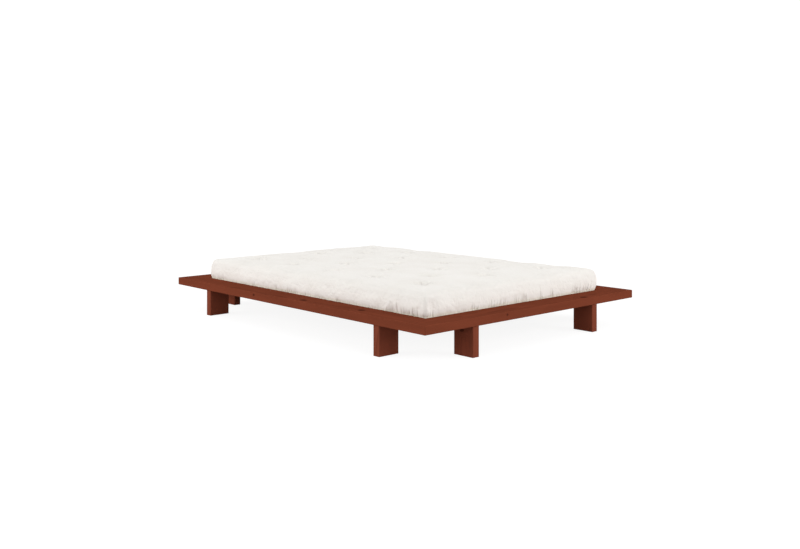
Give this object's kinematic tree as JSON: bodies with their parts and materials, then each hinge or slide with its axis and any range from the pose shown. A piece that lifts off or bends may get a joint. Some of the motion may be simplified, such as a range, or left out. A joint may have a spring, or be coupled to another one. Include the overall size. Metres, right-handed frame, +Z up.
{
  "type": "futon bed",
  "caption": "Low platform bed: flat mitred boards form a wide rim on short board legs, with a slatted base and a loose tufted futon mattress inside the rim.",
  "frame": {"origin": "on the floor, under the middle of the bed", "axes": "+X across the bed to the right side, +Y from the foot end to the head end, +Z up"},
  "size_m": [1.69, 2.29, 0.3283],
  "materials": {
    "stained_pine": "red-brown stain under satin lacquer",
    "plain_pine": "planed, untreated",
    "beech": "plain",
    "plated_steel": "zinc plated",
    "bright_steel": "zinc plated",
    "slat_tape": "woven cotton band",
    "cotton_casing": "natural cotton twill",
    "foam": "open-cell foam",
    "cotton_twine": "cotton tufts and twine"
  },
  "bodies": {
    "frame": {"beam_hanger_foot": "plated_steel", "beam_hanger_head": "plated_steel", "centre_beam": "plain_pine", "centre_leg_foot": "plain_pine", "centre_leg_head": "plain_pine", "centre_leg_studs": "bright_steel", "corner_plate_foot_left": "plated_steel", "corner_plate_foot_right": "plated_steel", "corner_plate_head_left": "plated_steel", "corner_plate_head_right": "plated_steel", "corner_plate_screws": "bright_steel", "end_board_foot": "stained_pine", "end_board_head": "stained_pine", "end_slat_screws": "bright_steel", "hanger_screws": "bright_steel", "ledger_screws": "bright_steel", "leg_bolts": "bright_steel", "leg_foot_left": "stained_pine", "leg_foot_right": "stained_pine", "leg_head_left": "stained_pine", "leg_head_right": "stained_pine", "leg_inserts": "bright_steel", "leg_left_foot": "stained_pine", "leg_left_head": "stained_pine", "leg_right_foot": "stained_pine", "leg_right_head": "stained_pine", "leg_washers": "bright_steel", "mitre_dowels": "beech", "side_board_left": "stained_pine", "side_board_right": "stained_pine", "slat_01": "plain_pine", "slat_02": "plain_pine", "slat_03": "plain_pine", "slat_04": "plain_pine", "slat_05": "plain_pine", "slat_06": "plain_pine", "slat_07": "plain_pine", "slat_08": "plain_pine", "slat_09": "plain_pine", "slat_10": "plain_pine", "slat_11": "plain_pine", "slat_12": "plain_pine", "slat_13": "plain_pine", "slat_14": "plain_pine", "slat_15": "plain_pine", "slat_16": "plain_pine", "slat_ledger_left": "plain_pine", "slat_ledger_right": "plain_pine", "slat_tape_left": "slat_tape", "slat_tape_right": "slat_tape"},
    "futon": {"futon_casing": "cotton_casing", "futon_core": "foam", "tuft_ties": "cotton_twine"}
  },
  "joints": [
    {"name": "futon_lift", "type": "slide", "parent": "frame", "child": "futon", "axis": [0, 0, 1], "range_m": [0, 0.3]}
  ]
}
